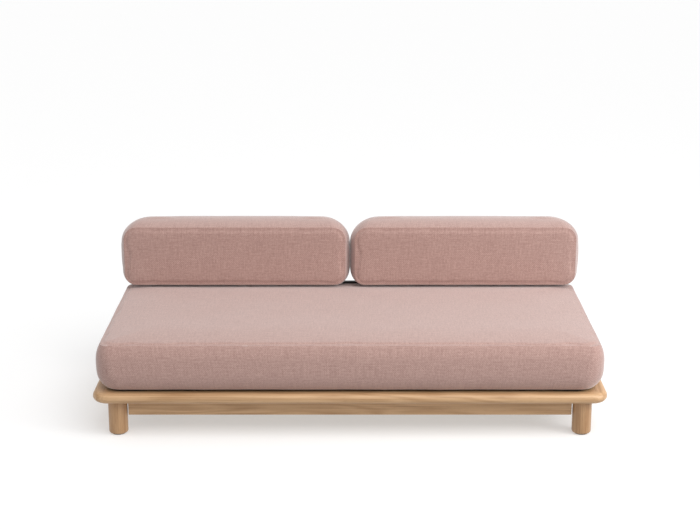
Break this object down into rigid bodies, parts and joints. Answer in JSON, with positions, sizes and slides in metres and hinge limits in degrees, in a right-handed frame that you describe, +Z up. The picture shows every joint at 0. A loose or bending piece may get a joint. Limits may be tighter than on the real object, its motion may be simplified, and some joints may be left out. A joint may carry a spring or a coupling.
{
  "type": "daybed",
  "caption": "Low upholstered daybed: a thick mattress on a round-edged oak frame with stubby round legs, and loose back cushions that lift off steel uprights.",
  "frame": {"origin": "on the floor at the middle of the daybed's bounding box", "axes": "+X along the bed towards the right-hand end as seen from the front, +Y towards the back cushions, +Z up"},
  "size_m": [2, 0.96, 0.673],
  "materials": {
    "oak": "matt clear oil over natural oak",
    "birch": "unfinished birch and birch plywood",
    "upholstery": "coarse dusty-rose linen weave",
    "foam": "open-cell foam",
    "felt": "pressed felt",
    "black_steel": "fine-textured black powder coat",
    "zinc_steel": "zinc plated",
    "zip_tape": "woven polyester tape with fine teeth"
  },
  "bodies": {
    "bed_frame": {"front_rail": "oak", "right_rail": "oak", "rear_rail": "oak", "left_rail": "oak", "front_apron": "oak", "rear_apron": "oak", "left_apron": "oak", "right_apron": "oak", "leg_front_left": "oak", "leg_front_right": "oak", "leg_rear_left": "oak", "leg_rear_right": "oak", "corner_tenon_front_left": "birch", "corner_tenon_front_right": "birch", "corner_tenon_rear_left": "birch", "corner_tenon_rear_right": "birch", "front_ledger": "birch", "rear_ledger": "birch", "slat_01": "birch", "slat_02": "birch", "slat_03": "birch", "slat_04": "birch", "slat_05": "birch", "slat_06": "birch", "slat_07": "birch", "slat_08": "birch", "slat_09": "birch", "slat_10": "birch", "leg_bolt_front_left": "zinc_steel", "leg_bolt_front_right": "zinc_steel", "leg_bolt_rear_left": "zinc_steel", "leg_bolt_rear_right": "zinc_steel", "upright_screw_1": "zinc_steel", "upright_screw_2": "zinc_steel", "upright_screw_3": "zinc_steel", "upright_screw_4": "zinc_steel", "glide_front_left": "felt", "glide_front_right": "felt", "glide_rear_left": "felt", "glide_rear_right": "felt", "upright_1": "black_steel", "upright_2": "black_steel", "upright_3": "black_steel", "upright_4": "black_steel", "back_bar": "black_steel"},
    "mattress": {"mattress_cover": "upholstery", "mattress_core": "foam", "mattress_zip": "zip_tape"},
    "backrest_left": {"backrest_left_cover": "upholstery", "backrest_left_foam": "foam", "backrest_left_board": "birch", "backrest_left_zip": "zip_tape", "backrest_left_sleeve_1": "zinc_steel", "backrest_left_sleeve_2": "zinc_steel"},
    "backrest_right": {"backrest_right_cover": "upholstery", "backrest_right_foam": "foam", "backrest_right_board": "birch", "backrest_right_zip": "zip_tape", "backrest_right_sleeve_1": "zinc_steel", "backrest_right_sleeve_2": "zinc_steel"}
  },
  "joints": [
    {"name": "backrest_left_lift", "type": "slide", "parent": "bed_frame", "child": "backrest_left", "axis": [0, 0, 1], "range_m": [0, 0.2]},
    {"name": "backrest_right_lift", "type": "slide", "parent": "bed_frame", "child": "backrest_right", "axis": [0, 0, 1], "range_m": [0, 0.2]},
    {"name": "mattress_pull", "type": "slide", "parent": "bed_frame", "child": "mattress", "axis": [0, -1, 0], "range_m": [0, 0.3]}
  ]
}
